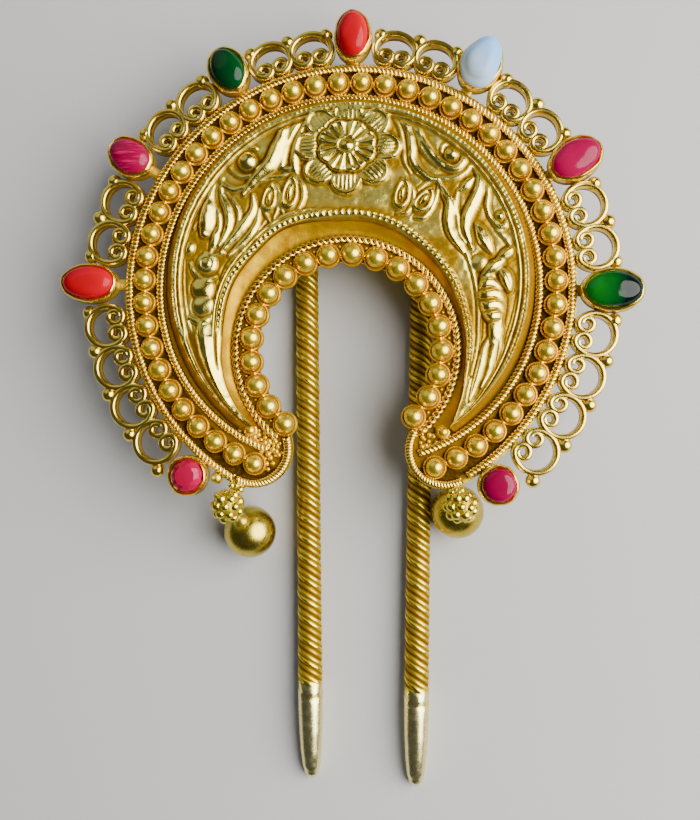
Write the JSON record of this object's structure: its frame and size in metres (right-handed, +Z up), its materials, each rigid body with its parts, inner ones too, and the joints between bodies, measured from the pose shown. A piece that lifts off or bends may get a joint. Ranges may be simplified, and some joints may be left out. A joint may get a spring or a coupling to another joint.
{
  "type": "bridal hairpin",
  "caption": "Hairpin with a raised crescent head of beads, relief and set stones on two long twisted prongs; it holds up the hair and decorates it.",
  "frame": {"origin": "middle of the underside of the bounding box, where the prongs and drops rest", "axes": "+X to the right across the head, +Y from the prong points to the head's top, +Z up through the head's face"},
  "size_m": [0.058, 0.0784, 0.01],
  "materials": {
    "gilt_metal": "satin, slightly aged",
    "pink_glass": "cut, polished",
    "coral": "opaque, polished",
    "ruby": "polished",
    "deep_green": "polished",
    "green_glass": "polished",
    "pearl": "milky, lustrous"
  },
  "bodies": {
    "root": {"crescent_plate": "gilt_metal", "plaque": "gilt_metal", "cavetto_band": "gilt_metal", "outer_rope": "gilt_metal", "middle_rope": "gilt_metal", "middle_rope_left": "gilt_metal", "middle_rope_right": "gilt_metal", "inner_rope": "gilt_metal", "tip_rope_left": "gilt_metal", "tip_rope_right": "gilt_metal", "outer_beads_left": "gilt_metal", "outer_beads_right": "gilt_metal", "inner_beads": "gilt_metal", "filigree_1": "gilt_metal", "filigree_2": "gilt_metal", "filigree_3": "gilt_metal", "filigree_4": "gilt_metal", "filigree_5": "gilt_metal", "filigree_6": "gilt_metal", "filigree_7": "gilt_metal", "filigree_8": "gilt_metal", "bezel_1": "gilt_metal", "bezel_2": "gilt_metal", "bezel_3": "gilt_metal", "bezel_4": "gilt_metal", "bezel_5": "gilt_metal", "bezel_6": "gilt_metal", "bezel_7": "gilt_metal", "bezel_8": "gilt_metal", "bezel_9": "gilt_metal", "cap_left": "gilt_metal", "cap_right": "gilt_metal", "drop_left": "gilt_metal", "drop_right": "gilt_metal", "prong_left": "gilt_metal", "prong_right": "gilt_metal", "prong_yoke": "gilt_metal", "stone_1": "pink_glass", "stone_2": "coral", "stone_3": "ruby", "stone_4": "deep_green", "stone_5": "coral", "stone_6": "pearl", "stone_7": "ruby", "stone_8": "green_glass", "stone_9": "ruby"}
  },
  "joints": []
}
